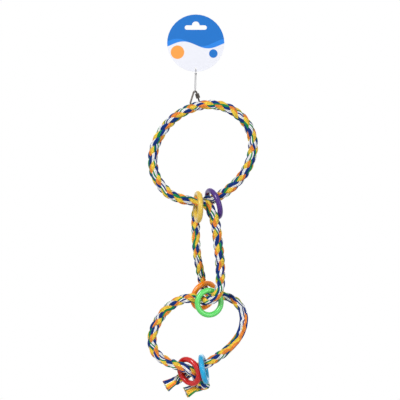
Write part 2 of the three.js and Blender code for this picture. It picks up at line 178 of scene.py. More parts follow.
# Loosened ends: rings of yarns as (share of the strand's radius, count), and how much the
# strands and the yarns spread, over their own distance from the middle
FRAY_RINGS = ((0.74, YARNS), (0.3, YARNS // 2))
FRAY_STRANDS, FRAY_YARNS = 0.55, 0.5
FRAY_CURVE = 1.4  # how late the yarns spread; 1 would be evenly from the cut of the solid
FRAY_STEPS, FRAY_SIDES = 12, 8  # rings of points along a loose yarn, and round it
FRAY_RADIUS, FRAY_SWELL = 0.00085, 0.12  # a loose yarn's radius and its growth to the tip
FRAY_SWAY, FRAY_SWAY_ANGLE = 0.0004, 5  # how far a loose yarn sways, over what angle
FRAY_SEED = 5
FRAY_CREASE_ANGLE = 50
CORD_DIAMETERS = 6  # a shorter piece than this many diameters doesn't count as a cord
CORD_POINTS = 36  # points of the path worked out for a cord

LINK_X = -0.001  # the link hangs a little left of the tag's middle
LOOP_TOP = -0.13  # only the top of the top loop rises past this height


def shade_of(name, about, default):
    """Colour among the add-on's settings."""
    return FloatVectorProperty(
        name=name, description="Colour of the " + about, default=default, subtype="COLOR",
    )


class RopeSettings(bpy.types.PropertyGroup):
    diameter: FloatProperty(
        name="Rope Diameter", description="Over the crowns of the strands",
        default=0.0141, unit="LENGTH",
    )
    lay_length: FloatProperty(
        name="Lay Length", description="Length of one full turn of a strand",
        default=0.037, unit="LENGTH",
    )
    opened_lay: FloatProperty(
        name="Opened Lay", description="Share of the twist left where the lay has opened",
        default=0.12, subtype="FACTOR",
    )
    yarn_twist: FloatProperty(
        name="Yarn Twist", description="How far the yarns turn back against the strands",
        default=0.7, subtype="FACTOR",
    )
    yellow: shade_of("Yellow Yarn", "yellow yarns", (1.0, 0.68, 0.065))
    orange: shade_of("Orange Yarn", "orange yarns", (0.95, 0.29, 0.045))
    navy: shade_of("Navy Yarn", "navy yarns", (0.002, 0.034, 0.23))
    white: shade_of("White Yarn", "white yarns", (0.93, 0.94, 0.95))
    green: shade_of("Green Yarn", "green yarns", (0.01, 0.29, 0.08))


class RingSettings(bpy.types.PropertyGroup):
    gloss: FloatProperty(
        name="Ring Roughness", description="Roughness of the moulded plastic",
        default=0.18, subtype="FACTOR",
    )
    yellow: shade_of("Yellow Ring", "yellow ring", (0.8, 0.54, 0.07))
    purple: shade_of("Purple Ring", "purple ring", (0.065, 0.015, 0.215))
    green: shade_of("Green Ring", "green ring", (0.12, 0.71, 0.14))
    orange: shade_of("Orange Ring", "orange ring", (1.0, 0.27, 0.003))
    red: shade_of("Red Ring", "red ring", (0.6, 0.003, 0.003))
    blue: shade_of("Blue Ring", "blue ring", (0.003, 0.38, 0.7))


class LinkSettings(bpy.types.PropertyGroup):
    wire: FloatProperty(
        name="Wire Diameter", description="Thickness of the link's wire",
        default=0.0026, unit="LENGTH",
    )
    thread_pitch: FloatProperty(
        name="Thread Pitch", description="Distance between two crests of the screw thread",
        default=0.0005, unit="LENGTH",
    )
    nut_flats: FloatProperty(
        name="Nut Across Flats", description="Width of the nut over two flats",
        default=0.0052, unit="LENGTH",
    )
    # The nickel colour is painted much darker than plated steel, as a painted reflection of dark
    # surroundings
    nickel: shade_of("Nickel", "plated steel", (0.09, 0.08, 0.072))


class TagSettings(bpy.types.PropertyGroup):
    field: shade_of("Field", "printed field", (0.008, 0.16, 0.55))
    wave: shade_of("Wave", "pale wave", (0.8, 0.81, 0.88))
    patch: shade_of("Patch", "warm patch", (0.9, 0.35, 0.07))
    thread: FloatProperty(
        name="Thread Diameter", description="Thickness of the clear thread",
        default=0.001, unit="LENGTH",
    )


class StageSettings(bpy.types.PropertyGroup):
    floor_drop: FloatProperty(
        name="Floor Drop", description="Height from the toy's lowest point to the floor",
        default=0.05, unit="LENGTH",
    )
    focal: FloatProperty(
        name="Focal Length", description="The camera's focal length in millimetres",
        default=150.0,
    )
    key_power: FloatProperty(
        name="Key Light", description="Power of the large light at the left", default=29.0,
    )
    fill_power: FloatProperty(
        name="Fill Light", description="Power of the large light at the right", default=11.0,
    )


# Helpers


def clear_selection():
    bpy.ops.object.select_all(action="DESELECT")


def new_object(name, mesh):
    piece = bpy.data.objects.new(name, mesh)
    bpy.context.scene.collection.objects.link(piece)
    return piece


def set_material(piece, material):
    piece.data.materials.clear()
    piece.data.materials.append(material)


def smooth(piece, angle=None):
    clear_selection()
    piece.select_set(True)
    bpy.context.view_layer.objects.active = piece
    if angle is None:
        bpy.ops.object.shade_smooth()
    else:
        bpy.ops.object.shade_smooth_by_angle(angle=math.radians(angle))


def blank_material(name):
    material = bpy.data.materials.new(name)
    material.use_nodes = True
    nodes = material.node_tree.nodes
    links = material.node_tree.links
    return material, nodes, links, nodes["Principled BSDF"]


def fill(made, **inputs):
    """Sets a node's inputs by name, with _ for each space."""
    for key, value in inputs.items():
        made.inputs[key.replace("_", " ")].default_value = value


def node(nodes, kind, **inputs):
    made = nodes.new(kind)
    fill(made, **inputs)
    return made


def calc(nodes, links, operation, *values):
    """Math node of the given values and sockets; gives its output socket."""
    made = nodes.new("ShaderNodeMath")
    made.operation = operation
    for socket, value in zip(made.inputs, values):
        if isinstance(value, (int, float)):
            socket.default_value = value
        else:
            links.new(value, socket)
    return made.outputs[0]


def between(nodes, links, value, low, high, start=0.0, end=1.0):
    """Value from start to end, spread over low to high."""
    made = node(
        nodes, "ShaderNodeMapRange", From_Min=start, From_Max=end, To_Min=low, To_Max=high,
    )
    links.new(value, made.inputs["Value"])
    return made.outputs["Result"]


def grain(nodes, links, scale, detail):
    """Noise in the object's own coordinates; gives its output socket."""
    place = nodes.new("ShaderNodeTexCoord")
    made = node(nodes, "ShaderNodeTexNoise", Scale=scale, Detail=detail)
    links.new(place.outputs["Object"], made.inputs["Vector"])
    return made.outputs["Fac"]


def tinted(nodes, links, shader, value, color):
    """Base colour whose brightness follows a value, from a tuple or a socket."""
    tint = nodes.new("ShaderNodeHueSaturation")
    if isinstance(color, bpy.types.NodeSocket):
        links.new(color, tint.inputs["Color"])
    else:
        tint.inputs["Color"].default_value = (*color, 1)
    links.new(value, tint.inputs["Value"])
    links.new(tint.outputs["Color"], shader.inputs["Base Color"])


def bumped(nodes, links, shader, height, strength, distance):
    bump = node(nodes, "ShaderNodeBump", Strength=strength, Distance=distance)
    links.new(height, bump.inputs["Height"])
    links.new(bump.outputs["Normal"], shader.inputs["Normal"])


def pick(piece, kind, wanted):
    """Selects the vertices, edges or faces, in edit mode, that a test picks out."""
    bpy.ops.mesh.select_mode(type=kind)
    bpy.ops.mesh.select_all(action="DESELECT")
    bm = bmesh.from_edit_mesh(piece.data)
    for part in {"VERT": bm.verts, "EDGE": bm.edges, "FACE": bm.faces}[kind]:
        part.select_set(wanted(part))
    bmesh.update_edit_mesh(piece.data)


# Rope centreline and frames


def route_samples():
    """Points along the route as a centripetal curve, with the length at each."""
    route = np.array(ROPE_ROUTE, float)
    points = []
    for i in range(len(route) - 1):
        before = route[i - 1] if i else 2 * route[0] - route[1]
        start, end = route[i], route[i + 1]
        after = route[i + 2] if i + 2 < len(route) else 2 * route[-1] - route[-2]
        d0 = np.linalg.norm(start - before) ** 0.5
        d1 = np.linalg.norm(end - start) ** 0.5
        d2 = np.linalg.norm(after - end) ** 0.5
        m1 = ((start - before) / d0 - (end - before) / (d0 + d1) + (end - start) / d1) * d1
        m2 = ((end - start) / d1 - (after - start) / (d1 + d2) + (after - end) / d2) * d1
        for k in range(SAMPLES_PER_SPAN):
            t = k / SAMPLES_PER_SPAN
            points.append(
                (2 * t**3 - 3 * t**2 + 1) * start + (t**3 - 2 * t**2 + t) * m1
                + (-2 * t**3 + 3 * t**2) * end + (t**3 - t**2) * m2
            )
    points.append(route[-1])
    points = np.array(points)
    lengths = np.r_[0, np.cumsum(np.linalg.norm(np.diff(points, axis=0), axis=1))]
    return points, lengths


class RopeLine:
    """The rope's centreline with a frame that doesn't twist and the strands' angle."""

    def __init__(self, settings):
        self.points, self.lengths = route_samples()
        self.tangents = np.gradient(self.points, self.lengths, axis=0)
        self.tangents /= np.linalg.norm(self.tangents, axis=1)[:, None]
        self.sides = self.carried_sides()
        step = np.diff(self.lengths)
        middle = (self.lengths[1:] + self.lengths[:-1]) / 2
        rate = np.full(len(step), 2 * math.pi / settings.lay_length)
        rate *= 1 - (1 - settings.opened_lay) * self.opened(middle)
        self.turns = np.r_[0, np.cumsum(rate * step)]
        self.turns -= self.turn_at_link()

    def carried_sides(self):
        side = np.cross(self.tangents[0], (0.0, 0.0, 1.0))
        side /= np.linalg.norm(side)
        sides = [side]
        for i in range(1, len(self.points)):
            chord = self.points[i] - self.points[i - 1]
            square = chord @ chord
            turned = side - 2 / square * (chord @ side) * chord
            tangent = self.tangents[i - 1] - 2 / square * (chord @ self.tangents[i - 1]) * chord
            fix = self.tangents[i] - tangent
            square = fix @ fix
            side = turned if square < STRAIGHT else turned - 2 / square * (fix @ turned) * fix
            side /= np.linalg.norm(side)
            sides.append(side)
        return np.array(sides)

    def length_at(self, point):
        """Length along the rope at a numbered point of the route, fractions allowed."""
        place = point * SAMPLES_PER_SPAN
        return float(np.interp(place, np.arange(len(self.lengths)), self.lengths))

    def turn_at_link(self):
        """Angle that puts the crown of the first strand over the link."""
        beside = np.abs(self.points[:, 0] - LINK_X)
        i = int(np.argmin(np.where(self.points[:, 2] < LOOP_TOP, np.inf, beside)))
        up = np.array((0.0, 0.0, 1.0))
        across = np.cross(self.tangents[i], self.sides[i])
        return self.turns[i] - math.atan2(up @ across, up @ self.sides[i])

    def opened(self, length):
        """How far the rope's lay is opened there, from 0 to 1."""
        start, end = (self.length_at(point) for point in OPENED_LAY)
        into, out = (length - start) / LAY_BLEND, (end - length) / LAY_BLEND
        return np.clip(into, 0, 1) * np.clip(out, 0, 1)

    def fullness(self, length):
        """Share of the rope's full diameter there."""
        places = [self.length_at(point) for point, _ in ROPE_FULLNESS]
        return np.interp(length, places, [share for _, share in ROPE_FULLNESS])

    def at(self, length):
        """Point, tangent, side, across and strand angle at lengths along the rope."""
        def take(rows):
            columns = [np.interp(length, self.lengths, rows[:, k]) for k in range(3)]
            return np.stack(columns, axis=-1)

        tangent = take(self.tangents)
        tangent /= np.linalg.norm(tangent, axis=-1)[..., None]
        side = take(self.sides)
        side -= (side * tangent).sum(-1)[..., None] * tangent
        side /= np.linalg.norm(side, axis=-1)[..., None]
        across = np.cross(tangent, side)
        turn = np.interp(length, self.lengths, self.turns)
        return take(self.points), tangent, side, across, turn


# Rope pieces


def wander(lengths, strand, unevenness):
    """Uneven rise and fall along a strand."""
    step, start, waves = unevenness
    phase = step * strand + start
    return sum(
        size * np.sin(2 * math.pi * lengths / wave + phase * (i + PHASE_SPREAD))
        for i, (size, wave) in enumerate(waves)
    )


def end_turn(lengths):
    """Angle that the strands' yarns have turned further towards the rope's first end."""
    return END_TURN * np.clip(1 - lengths / END_TURN_LENGTH, 0, 1)


def sizes_at(line, lengths, settings):
    """A strand's radius and its distance from the rope's centreline."""
    rope = line.fullness(lengths) * settings.diameter / 2
    radius = rope * STRAND_SHARE
    return radius, rope - radius


def yarns_begin(angle, turn, lengths, settings):
    """Angle at which a strand's first yarn lies round it."""
    return YARN_START + angle - (1 + settings.yarn_twist) * turn + end_turn(lengths)


def strand_rings(line, lengths, strand, settings):
    """Rings of points round one strand at the given lengths along the rope."""
    radius, offset = sizes_at(line, lengths, settings)
    centre, _, side, across, turn = line.at(lengths)
    angle = turn + 2 * math.pi * strand / STRANDS + wander(lengths, strand, STRAND_SWAY)
    column = np.arange(COLUMNS)
    loose = wander(lengths, strand, YARN_DRIFT)
    loose += line.opened(lengths) * wander(lengths, strand, OPENED_DRIFT)
    begin = yarns_begin(angle, turn, lengths, settings) + loose
    own = begin[:, None] + 2 * math.pi * (column / COLUMNS)[None]
    across_yarn = 2 * math.pi * (column % POINTS_PER_YARN) / POINTS_PER_YARN
    ridge = np.sqrt(0.5 - 0.5 * np.cos(across_yarn))
    plump = 1 + wander(lengths, strand, PLUMPNESS)
    reach = (radius * plump)[:, None] * (1 - YARN_DEPTH + YARN_DEPTH * ridge)[None]
    out = side * np.cos(angle)[:, None] + across * np.sin(angle)[:, None]
    middle = centre + offset[:, None] * out
    ring = (
        middle[:, None]
        + (reach * np.cos(own))[..., None] * side[:, None]
        + (reach * np.sin(own))[..., None] * across[:, None]
    )
    return ring, middle


def tube_mesh(bm, rings, caps, u_values, v_values):
    """Adds a closed tube from rings of points, with the yarns' place in its UV map."""
    uv_layer = bm.loops.layers.uv.active or bm.loops.layers.uv.new("yarns")
    count = rings.shape[1]
    made = [[bm.verts.new(p) for p in ring] for ring in rings]
    for i in range(len(rings) - 1):
        for j in range(count):
            k = (j + 1) % count
            face = bm.faces.new((made[i][j], made[i][k], made[i + 1][k], made[i + 1][j]))
            right = u_values[j + 1]
            for loop, u, v in zip(
                face.loops,
                (u_values[j], right, right, u_values[j]),
                (v_values[i], v_values[i], v_values[i + 1], v_values[i + 1]),
            ):
                loop[uv_layer].uv = (u, v)
    for ring, centre, v, turned in (
        (made[0], caps[0], v_values[0], True), (made[-1], caps[1], v_values[-1], False),
    ):
        hub = bm.verts.new(centre)
        for j in range(count):
            k = (j + 1) % count
            corners = (ring[k], ring[j], hub) if turned else (ring[j], ring[k], hub)
            face = bm.faces.new(corners)
            u = (u_values[j] + u_values[j + 1]) / 2
            for loop in face.loops:
                loop[uv_layer].uv = (u, v)


def cotton_object(bm, name):
    mesh = bpy.data.meshes.new(name)
    bm.to_mesh(mesh)
    bm.free()
    return new_object("cotton_" + name, mesh)


def rope_piece(line, name, start, end, settings):
    """Stretch of the three strands between two points of the route."""
    first, last = sorted((line.length_at(start), line.length_at(end)))
    lengths = np.linspace(first, last, max(3, int(round((last - first) / RING_STEP))) + 1)
    bm = bmesh.new()
    for strand in range(STRANDS):
        rings, middle = strand_rings(line, lengths, strand, settings)
        u_values = (strand + np.arange(COLUMNS + 1) / COLUMNS) / STRANDS
        tube_mesh(bm, rings, (middle[0], middle[-1]), u_values, lengths)
    piece = cotton_object(bm, name)
    smooth(piece)
    return piece


def declare_cord(line, start, end, settings):
    """Works out the path of a stretch that is long enough to count as a cord; the path is not
    passed on.
    """
    first, last = line.length_at(start), line.length_at(end)
    length = abs(last - first)
    if length < CORD_DIAMETERS * settings.diameter:
        return
    path = line.at(np.linspace(first, last, CORD_POINTS))[0]


def frayed_end(line, name, point, sign, settings):
    """Cut end of the rope, where the strands open and each yarn shows by itself."""
    length = line.length_at(point)
    centre, tangent, side, across, turn = (v[0] for v in line.at(np.array([length])))
    outward = tangent * sign
    radius, offset = (float(size) for size in sizes_at(line, length, settings))
    random = np.random.default_rng(int(point) + FRAY_SEED)
    along = np.linspace(0, 1, FRAY_STEPS)
    circle = np.arange(FRAY_SIDES) * 2 * math.pi / FRAY_SIDES
    thick = FRAY_RADIUS * (1 + FRAY_SWELL * along)
    section = (
        (thick[:, None] * np.cos(circle))[..., None] * side
        + (thick[:, None] * np.sin(circle))[..., None] * across * sign
    )
    bm = bmesh.new()
    for strand in range(STRANDS):
        angle = turn + 2 * math.pi * strand / STRANDS
        begin = float(yarns_begin(angle, turn, length, settings))
        out = side * math.cos(angle) + across * math.sin(angle)
        for share, count in FRAY_RINGS:
            for j in range(count):
                yarn = (j + 0.5) / count
                own = begin + 2 * math.pi * yarn
                away = side * math.cos(own) + across * math.sin(own)
                root = centre + offset * out + radius * share * away
                spread = out * offset * FRAY_STRANDS + away * radius * share * FRAY_YARNS
                spread = spread * (1 + random.uniform(-0.2, 0.2))
                lengths = along * END_LENGTH * random.uniform(0.9, 1.0)
                wave = random.uniform(0, 2 * math.pi)
                sway = FRAY_SWAY * np.sin(along * FRAY_SWAY_ANGLE + wave) * along
                path = (
                    root + outward * lengths[:, None] + spread * (along**FRAY_CURVE)[:, None]
                    + side * sway[:, None]
                )
                place = (strand + (int(yarn * YARNS) + 0.5) / YARNS) / STRANDS
                u_values = np.full(FRAY_SIDES + 1, place)
                rings = path[:, None] + section
                tube_mesh(bm, rings, (path[0], path[-1]), u_values, length + lengths)
    return cotton_object(bm, name)


def cotton_material(settings):
    material, nodes, links, shader = blank_material("dyed_cotton")
    uv = nodes.new("ShaderNodeUVMap")
    uv.uv_map = "yarns"
    split = nodes.new("ShaderNodeSeparateXYZ")
    links.new(uv.outputs["UV"], split.inputs["Vector"])
    x, y = split.outputs["X"], split.outputs["Y"]
    ramp = nodes.new("ShaderNodeValToRGB")
    ramp.color_ramp.interpolation = "CONSTANT"
    stops = ramp.color_ramp.elements
    stops.remove(stops[1])
    before = 0
    for name, count in (group for strand in STRAND_YARNS for group in strand):
        stop = stops.new(before / (STRANDS * YARNS)) if before else stops[0]
        stop.color = (*getattr(settings, name), 1)
        before += count
    links.new(x, ramp.inputs["Fac"])
    # Dye varies a little along each yarn
    dye = between(nodes, links, grain(nodes, links, 260.0, 3.0), 0.64, 1.66)
    # Creases between two yarns lie in shade
    yarn = calc(nodes, links, "MULTIPLY", x, STRANDS * YARNS)
    side = calc(nodes, links, "PINGPONG", yarn, 0.5)
    crease = between(nodes, links, side, 0.15, 1.0, start=0.0, end=0.26)
    # Two plies wind round each other in every yarn, with painted shade in the grooves between them
    slope = calc(nodes, links, "MULTIPLY_ADD", y, 1 / PLY_PITCH, yarn)
    ply = calc(nodes, links, "SINE", calc(nodes, links, "MULTIPLY", slope, 2 * math.pi))
    ply_groove_painted_shade = between(nodes, links, ply, 0.8, 1.04, start=-1.0, end=-0.2)
    shade = calc(nodes, links, "MULTIPLY", calc(nodes, links, "MULTIPLY", dye, crease), ply_groove_painted_shade)
    tinted(nodes, links, shader, shade, ramp.outputs["Color"])
    # Fibres run along the yarns
    stretch = nodes.new("ShaderNodeCombineXYZ")
    links.new(calc(nodes, links, "MULTIPLY", x, 300.0), stretch.inputs["X"])
    links.new(calc(nodes, links, "MULTIPLY", slope, 0.9), stretch.inputs["Y"])
    fibres = node(nodes, "ShaderNodeTexNoise", Scale=1.0, Detail=4.0)
    links.new(stretch.outputs["Vector"], fibres.inputs["Vector"])
    height = calc(nodes, links, "MULTIPLY_ADD", ply, 0.35, fibres.outputs["Fac"])
    bumped(nodes, links, shader, height, 0.8, 0.0005)
    fill(
        shader, Roughness=0.92, Sheen_Weight=0.12, Sheen_Roughness=0.5, Specular_IOR_Level=0.2,
    )
    return material


class BIRDROPE_OT_rope(bpy.types.Operator):
    """Make the laid cotton rope, its bends and its frayed ends"""

    bl_idname = "birdrope.rope"
    bl_label = "Make Rope"

    def execute(self, context):
        settings = context.scene.bird_rope
        line = RopeLine(settings)
        cotton = cotton_material(settings)
        for name, goes_on, point, sign in ROPE_ENDS:
            piece = frayed_end(line, "rope_" + name, point, sign, settings)
            set_material(piece, cotton)
            smooth(piece, FRAY_CREASE_ANGLE)
            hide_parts("rope_" + name)
            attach(piece, "bottom_loop")
        for name, start, end, body, solids in ROPE_PIECES:
            piece = rope_piece(line, "rope_" + name, start, end, settings)
            set_material(piece, cotton)
            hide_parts(*solids)
            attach(piece, body)
            declare_cord(line, start, end, settings)
        for name, start, end, bodies, flex in ROPE_BENDS:
            piece = rope_piece(line, "rope_" + name, start, end, settings)
            set_material(piece, cotton)
            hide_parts("rope_" + name)
            first, last = (line.at(np.array([line.length_at(p)]))[0][0] for p in flex)
            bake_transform(piece)
            declare_cord(line, start, end, settings)
        return {"FINISHED"}


# Rings


def ring_material(name, color, gloss):
    material, nodes, links, shader = blank_material("moulded_plastic_" + name)
    flow = grain(nodes, links, 45.0, 2.0)
    tinted(nodes, links, shader, between(nodes, links, flow, 0.94, 1.05), color)
    rough = between(nodes, links, flow, gloss * 0.85, gloss * 1.2)
    links.new(rough, shader.inputs["Roughness"])
    fill(shader, Specular_IOR_Level=0.4, Coat_Weight=0.2, Coat_Roughness=0.1)
    return material


def moulded_ring(name, outer, centre, lean, turn):
    """Ring with the fine parting line that a mould leaves round the outside and inside."""
    clear_selection()
    bpy.ops.mesh.primitive_torus_add(
        major_segments=112, minor_segments=28,
        major_radius=(outer - RING_TUBE) / 2, minor_radius=RING_TUBE / 2,
    )
    piece = bpy.context.active_object
    piece.name = "plastic_ring_" + name

    def on_parting(edge):
        first, second = (vertex.co for vertex in edge.verts)
        level = abs(first.z) < NEAR and abs(second.z) < NEAR
        return level and abs(first.xy.length - second.xy.length) < NEAR

    bpy.ops.object.mode_set(mode="EDIT")
    pick(piece, "EDGE", on_parting)
    bpy.ops.mesh.bevel(offset=0.00025, segments=2, profile=0.5, affect="EDGES")
    pick(piece, "VERT", lambda vertex: abs(vertex.co.z) < 10 * NEAR)
    bpy.ops.transform.shrink_fatten(value=PARTING_LINE)
    bpy.ops.mesh.select_all(action="SELECT")
    bpy.ops.mesh.normals_make_consistent(inside=False)
    bpy.ops.object.mode_set(mode="OBJECT")
    place = (
        Matrix.Translation(centre)
        @ Matrix.Rotation(math.radians(lean), 4, "Y")
        @ Matrix.Rotation(math.radians(turn), 4, "Z")
        @ Matrix.Rotation(math.radians(90), 4, "X")
    )
    piece.matrix_world = Matrix.Identity(4)
    piece.data.transform(place)
    return piece


class BIRDROPE_OT_rings(bpy.types.Operator):
    """Make the six loose plastic rings"""

    bl_idname = "birdrope.rings"
    bl_label = "Make Rings"

    def execute(self, context):
        settings = context.scene.bird_rings
        for name, (outer, centre, lean, turn) in RINGS.items():
            piece = moulded_ring(name, outer, centre, lean, turn)
            set_material(piece, ring_material(name, getattr(settings, name), settings.gloss))
            smooth(piece)
            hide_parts("ring_" + name)
            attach(piece, name + "_ring")
        return {"FINISHED"}


# Link and nut

BOW_RADIUS = 0.0067
TIP_RADIUS = 0.0022
LINK_HEIGHT = 0.0242
SOLID_WIRE = 0.0026
NUT_LENGTH = 0.007
NUT_CLOSED_BOTTOM = 0.0058  # heights from here on are up the right side, from the bow
NUT_BARREL = 0.985  # radius that the nut's corners are turned down to, over the corners' own
NUT_PLAY = 0.00015
GAP_TOP = 0.0114
GAP_BOTTOM = 0.0086
THREAD_START = 0.0012
THREAD_ROOT = 0.87  # the thread's root over its crest


def link_layout():
    """Centres of the link's two curves and how far its sides lean."""
    low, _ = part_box("link")
    bottom = low[2] + SOLID_WIRE / 2
    rise = LINK_HEIGHT - BOW_RADIUS - TIP_RADIUS
    tilt = math.asin((BOW_RADIUS - TIP_RADIUS) / rise)
    bow = Vector((LINK_X, 0, bottom + BOW_RADIUS))
    tip = Vector((LINK_X, 0, bottom + LINK_HEIGHT - TIP_RADIUS))
    return bow, tip, tilt


def right_side(distance):
    """Place on the wire's axis, this far up its right side from the bow."""
    bow, _, tilt = link_layout()
    return bow + Vector((
        BOW_RADIUS * math.cos(tilt) - distance * math.sin(tilt), 0,
        BOW_RADIUS * math.sin(tilt) + distance * math.cos(tilt),
    ))


def draw_out(move):
    bpy.ops.mesh.extrude_region_move(TRANSFORM_OT_translate={"value": move})


def link_wire(settings):
    """Wire drawn out straight and bent round the tip and the bow, with a screw-cut end."""
    bow, tip, tilt = link_layout()
    side_length = (tip - bow).length * math.cos(tilt)
    rising = Vector((-math.sin(tilt), 0, math.cos(tilt)))
    falling = Vector((-math.sin(tilt), 0, -math.cos(tilt)))
    clear_selection()
    bpy.ops.mesh.primitive_circle_add(
        vertices=24, radius=settings.wire / 2, fill_type="NGON",
        location=right_side(GAP_TOP), rotation=(0, -tilt, 0),
    )
    wire = bpy.context.active_object
    wire.name = "link_wire"
    bpy.ops.object.transform_apply(location=True, rotation=True, scale=True)
    bpy.ops.object.mode_set(mode="EDIT")
    bpy.ops.mesh.select_mode(type="FACE")
    draw_out(rising * (side_length - GAP_TOP))
    bpy.ops.mesh.spin(steps=20, angle=math.pi - 2 * tilt, center=tip, axis=(0, 1, 0))
    draw_out(falling * side_length)
    bpy.ops.mesh.spin(steps=48, angle=math.pi + 2 * tilt, center=bow, axis=(0, 1, 0))
    draw_out(rising * THREAD_START)
    crests = int((GAP_BOTTOM - THREAD_START) / settings.thread_pitch)
    half = (GAP_BOTTOM - THREAD_START) / crests / 2
    for i in range(2 * crests):
        draw_out(rising * half)
        scale = 1 / THREAD_ROOT if i % 2 else THREAD_ROOT
        bpy.ops.transform.resize(
            value=(scale, scale, scale), center_override=right_side(THREAD_START + (i + 1) * half),
        )
    pick(wire, "FACE", lambda face: len(face.verts) > 4)
    bpy.ops.mesh.bevel(offset=0.0003, segments=2, affect="EDGES")
    bpy.ops.mesh.select_all(action="SELECT")
    bpy.ops.mesh.normals_make_consistent(inside=False)
    bpy.ops.object.mode_set(mode="OBJECT")
    return wire


def apply_boolean(piece, tool, operation):
    cut = piece.modifiers.new("cut", "BOOLEAN")
    cut.operation = operation
    cut.object = tool
    cut.solver = "EXACT"
    clear_selection()
    piece.select_set(True)
    bpy.context.view_layer.objects.active = piece
    bpy.ops.object.modifier_apply(modifier="cut")
    bpy.data.objects.remove(tool)


def hexagon_nut(settings):
    """Six-sided nut with turned corners and a round bore."""
    clear_selection()
    corner = settings.nut_flats / 2 / math.cos(math.pi / 6)
    bpy.ops.mesh.primitive_cylinder_add(vertices=6, radius=corner, depth=NUT_LENGTH)
    nut = bpy.context.active_object
    nut.name = "link_collar_nut"
    clear_selection()
    bpy.ops.mesh.primitive_cylinder_add(
        vertices=48, radius=corner * NUT_BARREL, depth=NUT_LENGTH,
    )
    barrel = bpy.context.active_object
    bpy.ops.object.mode_set(mode="EDIT")
    pick(barrel, "EDGE", lambda edge: abs(edge.verts[0].co.z - edge.verts[1].co.z) < NEAR)
    bpy.ops.mesh.bevel(offset=0.0005, segments=3, affect="EDGES")
    bpy.ops.object.mode_set(mode="OBJECT")
    apply_boolean(nut, barrel, "INTERSECT")
    clear_selection()
    bpy.ops.mesh.primitive_cylinder_add(
        vertices=32, radius=settings.wire / 2 + NUT_PLAY, depth=NUT_LENGTH * 1.2,
    )
    apply_boolean(nut, bpy.context.active_object, "DIFFERENCE")
    _, _, tilt = link_layout()
    middle = right_side(NUT_CLOSED_BOTTOM + NUT_LENGTH / 2)
    nut.data.transform(
        Matrix.Translation(middle) @ Matrix.Rotation(-tilt, 4, "Y")
        @ Matrix.Rotation(math.radians(30), 4, "Z")
    )
    return nut


def nickel_material(settings):
    material, nodes, links, shader = blank_material("nickel_plate_painted_dark")
    stains = grain(nodes, links, 300.0, 3.0)
    # Base colour painted dark, standing for reflected dark surroundings; the stains vary it a
    # little
    tinted(nodes, links, shader, between(nodes, links, stains, 0.82, 1.08), settings.nickel)
    rough = between(nodes, links, stains, 0.14, 0.34)
    links.new(rough, shader.inputs["Roughness"])
    fill(shader, Metallic=1.0)
    return material


class BIRDROPE_OT_link(bpy.types.Operator):
    """Make the screw link and its nut"""

    bl_idname = "birdrope.link"
    bl_label = "Make Link"

    def execute(self, context):
        settings = context.scene.bird_link
        nickel = nickel_material(settings)
        wire = link_wire(settings)
        nut = hexagon_nut(settings)
        for piece, solid, body, angle in (
            (wire, "link", "link", 40), (nut, "link_nut", "nut", 25),
        ):
            set_material(piece, nickel)
            smooth(piece, angle)
            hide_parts(solid)
            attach(piece, body)
        return {"FINISHED"}


# Card tag

# Discs as (x, z, radius); edges of the waves as (shift, swell, height)
WAVES_PER_METRE = 88.0  # as an angle
WAVE = (0.0, 0.005, -0.034)
CREST = (0.8, 0.0055, -0.0305)
PATCH = (-0.0265, -0.0445, 0.0098)
DOT = (0.0255, -0.0465, 0.0062)
CREST_GAIN, CREST_LIFT = 1.35, 0.01  # how the crest's colour is made from the field's
PRINT_BLUR = 0.0002
CARD_CORE = (0.82, 0.81, 0.78)


def card_material(settings):
    """Printed field with a pale wave low down, a warm patch and a dot, on a white card core."""
    material, nodes, links, shader = blank_material("printed_card")
    place = nodes.new("ShaderNodeTexCoord")
    split = nodes.new("ShaderNodeSeparateXYZ")
    links.new(place.outputs["Object"], split.inputs["Vector"])

    def work(operation, *values):
        return calc(nodes, links, operation, *values)

    x, z = split.outputs["X"], split.outputs["Z"]

    def inside(distance, edge):
        return between(
            nodes, links, distance, 1.0, 0.0, start=edge - PRINT_BLUR, end=edge + PRINT_BLUR,
        )

    def disc(centre_x, centre_z, radius):
        off_x, off_z = work("SUBTRACT", x, centre_x), work("SUBTRACT", z, centre_z)
        squares = work("ADD", work("MULTIPLY", off_x, off_x), work("MULTIPLY", off_z, off_z))
        return inside(work("SQRT", squares), radius)

    def under_wave(shift, swell, height):
        angle = work("MULTIPLY_ADD", x, WAVES_PER_METRE, shift)
        return inside(work("MULTIPLY_ADD", work("SINE", angle), swell, z), height)

    def mix(factor, below, above):
        made = nodes.new("ShaderNodeMix")
        made.data_type = "RGBA"
        links.new(factor, made.inputs["Factor"])
        for socket, value in ((made.inputs[6], below), (made.inputs[7], above)):
            if isinstance(value, tuple):
                socket.default_value = value
            else:
                links.new(value, socket)
        return made.outputs[2]

    field = (*settings.field, 1)
    light_field = (*(c * CREST_GAIN + CREST_LIFT for c in settings.field), 1)
    color = mix(under_wave(*CREST), field, light_field)
    color = mix(under_wave(*WAVE), color, (*settings.wave, 1))
    color = mix(disc(*PATCH), color, (*settings.patch, 1))
    color = mix(disc(*DOT), color, field)
    facing = nodes.new("ShaderNodeSeparateXYZ")
    links.new(place.outputs["Normal"], facing.inputs["Vector"])
    printed = work("GREATER_THAN", work("ABSOLUTE", facing.outputs["Y"]), 0.5)
    color = mix(printed, (*CARD_CORE, 1), color)
    links.new(color, shader.inputs["Base Color"])
    bumped(nodes, links, shader, grain(nodes, links, 900.0, 3.0), 0.08, 0.0001)
    fill(shader, Roughness=0.4, Specular_IOR_Level=0.3)
    return material


class BIRDROPE_OT_tag(bpy.types.Operator):
    """Print the card tag"""

    bl_idname = "birdrope.tag"
    bl_label = "Print Tag"

    def execute(self, context):
        set_material(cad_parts["hang_tag"], card_material(context.scene.bird_tag))
        return {"FINISHED"}


# Thread

